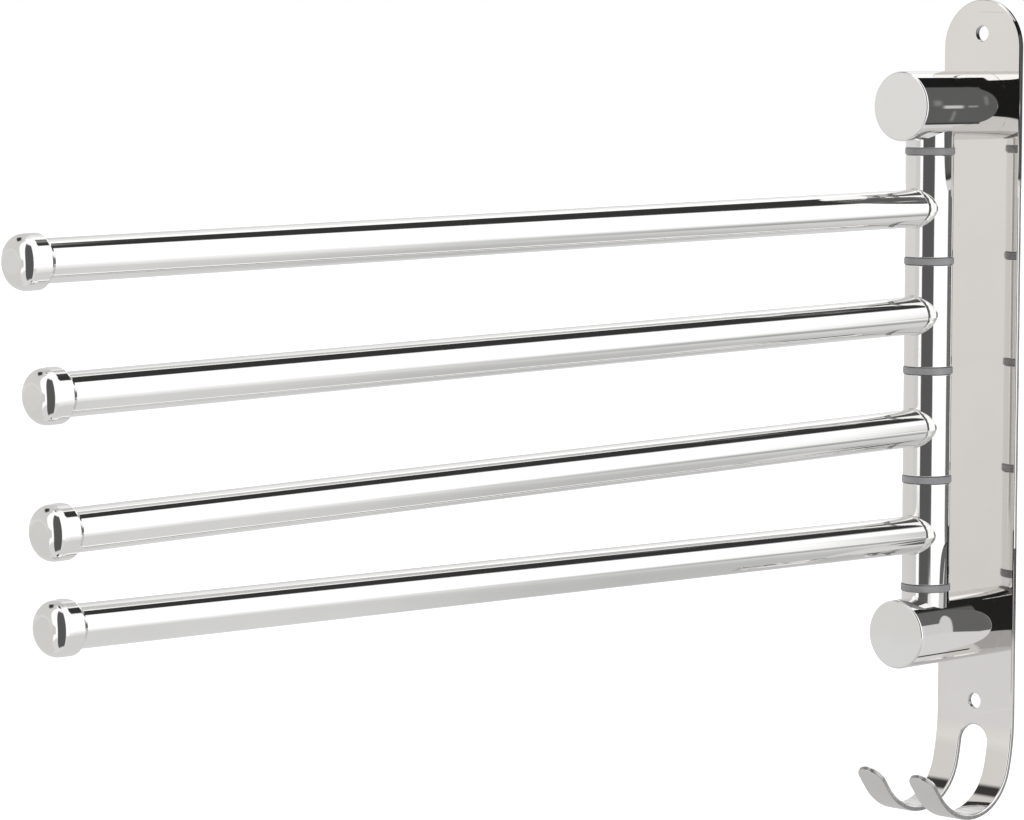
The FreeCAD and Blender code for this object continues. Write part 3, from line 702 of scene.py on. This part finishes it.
def band(x, lo, hi, soft):
    """1 inside lo..hi, with soft edges."""
    up = np.clip((x - lo) / soft + 0.5, 0, 1)
    dn = np.clip((hi - x) / soft + 0.5, 0, 1)
    up, dn = up * up * (3 - 2 * up), dn * dn * (3 - 2 * dn)
    return up * dn


def tent(az, el):
    """Brightness and warmth of the tent. Azimuth 0 is in front of the wall,
    90 to the right of somebody who faces the wall, 180 behind the wall."""
    v = np.full(az.shape, grey(262.0))
    warm = np.zeros(az.shape)

    def lay(mask, value):
        nonlocal v
        v = v * (1 - mask) + grey(value) * mask

    # floor of the room
    lay(band(el, -95, -22, 10), 212)
    # wall on the left: light, slightly warm grey, brighter upwards
    left = band(az, -122, -27, 6) * band(el, -60, 75, 12)
    lay(left, 203 + 11 * np.clip((el + 8) / 9, 0, 1) - 10 * np.clip((el - 2) / 4, 0, 1))
    warm = np.maximum(warm, left)
    lay(band(az, -153, -119, 8) * band(el, 14, 75, 8), 232)
    lay(band(az, -30, -7, 5) * band(el, -12, 3, 4), 200)
    # what the hollow of the hooks sees
    lay(band(az, -136, -88, 6) * band(el, 26, 58, 6), 200)
    lay(band(az, -141, -126, 5) * band(el, 2, 27, 6), 210)
    # beside the back of the column
    lay(np.clip(band(az, -160, -125, 6) + band(az, 204, 240, 6), 0, 1) * band(el, -26, 8, 8), 150)
    # camera side: dark
    lay(band(az, 6, 63, 5) * band(el, -64, 68, 10), 86)
    # behind the wall: a dark panel with a soft lead, and a darker one above it
    lay(band(az, 138, 154, 8) * band(el, -24, 6, 8), 215)
    lay(band(az, 139.5, 199, 4) * band(el, -16, 12, 14), 104)
    lay(band(az, 147.5, 192, 4) * band(el, 30, 58, 6), 54)
    # a strip high on the left, seen by the hooks
    lay(band(az, -87, -50, 14) * band(el, 43, 60, 6), 58)
    return v, warm


def stage_glossy(o):
    o.visible_camera = False
    o.visible_diffuse = False
    o.visible_shadow = False
    o.visible_transmission = False
    o.visible_volume_scatter = False


def emission_material(name, attribute=None, color=(1, 1, 1), strength=1.0, one_sided=False):
    m = bpy.data.materials.new(name)
    m.use_nodes = True
    nt = m.node_tree
    nt.nodes.clear()
    out = nt.nodes.new("ShaderNodeOutputMaterial")
    em = nt.nodes.new("ShaderNodeEmission")
    em.inputs["Strength"].default_value = strength
    em.inputs["Color"].default_value = (*color, 1)
    if attribute:
        at = nt.nodes.new("ShaderNodeAttribute")
        at.attribute_name = attribute
        nt.links.new(at.outputs["Color"], em.inputs["Color"])
    if one_sided:
        # shows its tone on the side that faces the post, and nothing on the other
        side = nt.nodes.new("ShaderNodeNewGeometry")
        clear = nt.nodes.new("ShaderNodeBsdfTransparent")
        both = nt.nodes.new("ShaderNodeMixShader")
        nt.links.new(side.outputs["Backfacing"], both.inputs["Fac"])
        nt.links.new(clear.outputs["BSDF"], both.inputs[1])
        nt.links.new(em.outputs["Emission"], both.inputs[2])
        nt.links.new(both.outputs["Shader"], out.inputs["Surface"])
    else:
        nt.links.new(em.outputs["Emission"], out.inputs["Surface"])
    return m


def build_dome():
    R = 20.0
    na, ne = 720, 360
    az = np.linspace(-180, 180, na + 1)
    el = np.linspace(-90, 90, ne + 1)
    A, E = np.meshgrid(az, el)
    v, warm = tent(np.where(A < -150, A + 360, A), E)
    v2, w2 = tent(A, E)
    # directions near the back are described with azimuths above 180
    use = (A < -150)
    v = np.where(use, v, v2)
    warm = np.where(use, warm, w2)
    a, e = np.radians(A), np.radians(E)
    x, y, z = R * np.sin(a) * np.cos(e), -R * np.cos(a) * np.cos(e), R * np.sin(e)
    verts = np.stack([x, y, z], -1).reshape(-1, 3)
    idx = np.arange((ne + 1) * (na + 1)).reshape(ne + 1, na + 1)
    quads = np.stack([idx[:-1, :-1], idx[:-1, 1:], idx[1:, 1:], idx[1:, :-1]], -1).reshape(-1, 4)
    me = bpy.data.meshes.new("tent")
    me.from_pydata(verts.tolist(), [], quads.tolist())
    me.update()
    col = np.stack([v * (1 + 0.0 * warm), v * (1 - 0.008 * warm), v * (1 - 0.03 * warm), np.ones_like(v)], -1)
    at = me.color_attributes.new("tent", "FLOAT_COLOR", "POINT")
    at.data.foreach_set("color", col.reshape(-1).astype(np.float32))
    me.materials.append(emission_material("tent_light", "tent"))
    o = bpy.data.objects.new("tent", me)
    scene.collection.objects.link(o)
    stage_glossy(o)


def build_card(name, rows, cols, place, tone, one_sided=False, tint=(1.005, 1.0, 0.995)):
    """A card with a tone that varies over it, seen only by the steel.
    place(u, v) gives its points in millimetres, tone(u, v) its grey value."""
    verts, faces, col = [], [], []
    for i in range(rows + 1):
        for j in range(cols + 1):
            u, w = i / rows, j / cols
            verts.append(tuple(c * MM for c in place(u, w)))
            g = grey(tone(u, w))
            col.append((g * tint[0], g * tint[1], g * tint[2], 1.0))
    for i in range(rows):
        for j in range(cols):
            a = i * (cols + 1) + j
            faces.append((a, a + 1, a + cols + 2, a + cols + 1))
    me = bpy.data.meshes.new(name)
    me.from_pydata(verts, [], faces)
    me.update()
    at = me.color_attributes.new("tone", "FLOAT_COLOR", "POINT")
    at.data.foreach_set("color", np.array(col, dtype=np.float32).reshape(-1))
    me.materials.append(emission_material(name + "_tone", "tone", one_sided=one_sided))
    o = bpy.data.objects.new(name, me)
    scene.collection.objects.link(o)
    stage_glossy(o)


def step(x, edge, soft):
    """0 below the edge, 1 above it."""
    t = min(max((x - edge) / soft + 0.5, 0.0), 1.0)
    return t * t * (3 - 2 * t)


def window(x, lo, hi, soft):
    return step(x, lo, soft) * (1 - step(x, hi, soft))


def mix(a, b, t):
    return a + (b - a) * t


build_dome()

# The dark cards stand close beside the two posts, curved about them.
CARD_R = 30.0


def shell(z, a0, a1, y0, y1):
    def place(u, w):
        a = math.radians(mix(a0, a1, u))
        return (CARD_R * math.cos(a), mix(y0, y1, w), z + CARD_R * math.sin(a))
    return place


UPPER = (-64.0, 92.0, -22.5, 20.0)
LOWER = (-90.0, 92.0, -22.5, 20.0)


def tone_upper(u, w):
    a, y = mix(UPPER[0], UPPER[1], u), mix(UPPER[2], UPPER[3], w)
    g = mix(50.0, 90.0, step(a, -48, 8))
    g = mix(g, 33.0, step(a, 54, 4))
    # faint things that stand beyond the card
    g = mix(g, 205.0, 0.9 * window(a, -6.5, 1.5, 4.0) * window(y, -11, -1, 3.0))
    g = mix(g, 170.0, 0.7 * window(a, -4.0, 0.5, 2.5) * window(y, 1.5, 6.5, 1.5))
    g = mix(g, 135.0, 0.6 * window(a, 2, 26, 10) * window(y, 10, 12, 1.5))
    g = mix(g, 150.0, 0.6 * window(a, -42, -14, 10) * window(y, -6, -4.5, 1.5))
    g = mix(g, 150.0, 0.6 * window(a, 1, 15, 12) * window(y, -16, -12, 3.0))
    return mix(205.0, g, step(a, -52.5, 2.5))


def tone_lower(u, w):
    a, y = mix(LOWER[0], LOWER[1], u), mix(LOWER[2], LOWER[3], w)
    base = -4.0 - 0.7 * min(max(y + 4.0, 0.0), 14.0)
    if y < -10.2:
        top = 24.0
    elif y < -6.0:
        top = 44.0 - 1.1 * (y + 6.0) ** 2
    else:
        top = 44.0 - 2.4 * (y + 6.0) ** 2
    blob = 1.0 - step(y, -3.8, 0.6)
    up = mix(97.0, 42.0, step(a, 63, 8))
    up = mix(up, 201.0, blob * (1.0 - step(a, top, 2.5)))
    down = mix(207.0, 60.0, window(a, -70.5, -65.5, 3.0))
    return mix(down, up, step(a, base, 2.0))


# A flat flag stands between each post and the front of the room. Only light
# that has left the plate or the root of the post towards the room meets it.
def flag(z):
    def place(u, w):
        return (mix(6.5, 30.0, w), -14.0, z + mix(-30.0, 30.0, u))
    return place


def flag_upper(u, w):
    x, z = mix(6.5, 30.0, w), mix(-30.0, 30.0, u)
    return mix(205.0, 34.0, step(z, -8.5 - 0.45 * (x - 14.0), 1.0))


def flag_lower(u, w):
    x, z = mix(6.5, 30.0, w), mix(-30.0, 30.0, u)
    low = mix(207.0, 165.0, step(z, -24.0, 2.0))
    return mix(low, 40.0, step(z, -4.9 - 0.33 * (x - 15.2), 0.7))


build_card("card_upper", 156, 98, shell(POST_Z["upper"], *UPPER), tone_upper, True)
build_card("card_lower", 182, 140, shell(POST_Z["lower"], *LOWER), tone_lower, True)
build_card("flag_upper", 120, 48, flag(POST_Z["upper"]), flag_upper, True)
build_card("flag_lower", 180, 60, flag(POST_Z["lower"]), flag_lower, True)


# Table top below the object, seen only by the steel: its tone is painted light, with a painted shadow in a disc
# under the object and a shaded strip along its right edge
def table_place(u, w):
    return (mix(-700.0, 560.0, u), mix(-393.0, 620.0, w), -151.0)


def table_tone(u, w):
    x, y, _ = table_place(u, w)
    # painted shadow: darker within about 150 mm of the column, under the object; painted shade: darker towards
    # the far edge
    g = mix(182.0, 205.0, step(math.hypot(x, y), 150, 160))
    dark = 150.0 * min(max((y - 10) / 210, 0.0), 1.0) ** 0.7
    rise = mix(216.0, 243.0, step(x, 330, 260))
    if x < 225:
        return mix(g, g - 0.42 * dark, step(x, 212, 26))
    return mix(rise - 0.42 * dark, rise, step(x, 350, 250))


build_card("table", 126, 100, table_place, table_tone, tint=(1.0, 1.0, 1.0))

# floor, well below the object, which hangs on a wall
me = bpy.data.meshes.new("floor")
fl = 40.0
me.from_pydata([(-fl, -fl, -1.6), (fl, -fl, -1.6), (fl, fl, -1.6), (-fl, fl, -1.6)], [], [(0, 1, 2, 3)])
fm, fnt, fb = new_material("floor_white")
fb.inputs["Roughness"].default_value = 0.9
fb.inputs["Specular IOR Level"].default_value = 0.1
fn = noise_node(fnt, 3.0, 2.0)
fr = ramp(fnt, fn.outputs["Fac"], [(0.3, (0.93, 0.93, 0.925)), (0.7, (0.95, 0.95, 0.945))])
fnt.links.new(fr.outputs["Color"], fb.inputs["Base Color"])
me.materials.append(fm)
floor = bpy.data.objects.new("floor", me)
scene.collection.objects.link(floor)
floor.visible_glossy = False

sun = bpy.data.lights.new("soft_top", "SUN")
sun.energy = 1.2
sun.angle = math.radians(50)
so = bpy.data.objects.new("soft_top", sun)
so.rotation_euler = (math.radians(18), math.radians(-14), 0)
so.visible_glossy = False
scene.collection.objects.link(so)

# ---------------------------------------------------------------------------
# Camera: fitted to the edges seen in the photograph
# ---------------------------------------------------------------------------
F_PX, PPX, PPY = 4036.9, 511.27, 441.85
yaw, pitch, roll = math.radians(45.384), math.radians(5.5001), math.radians(0.06316)
fwd = Vector((-math.sin(yaw) * math.cos(pitch), math.cos(yaw) * math.cos(pitch), -math.sin(pitch)))
right = Vector((math.cos(yaw), math.sin(yaw), 0))
up = right.cross(fwd)
r2 = right * math.cos(roll) + up * math.sin(roll)
u2 = -right * math.sin(roll) + up * math.cos(roll)
cam = bpy.data.cameras.new("camera")
cam.sensor_width = 36.0
cam.lens = F_PX / 1024.0 * 36.0
cam.shift_x = (512.0 - PPX) / 1024.0
cam.shift_y = (PPY - 410.0) / 1024.0
cam.clip_start, cam.clip_end = 0.05, 100.0
co = bpy.data.objects.new("camera", cam)
scene.collection.objects.link(co)
co.matrix_world = Matrix((
    (r2.x, u2.x, -fwd.x, 0.82485),
    (r2.y, u2.y, -fwd.y, -1.02884),
    (r2.z, u2.z, -fwd.z, 0.10226),
    (0, 0, 0, 1),
))
scene.camera = co

bpy.context.view_layer.update()
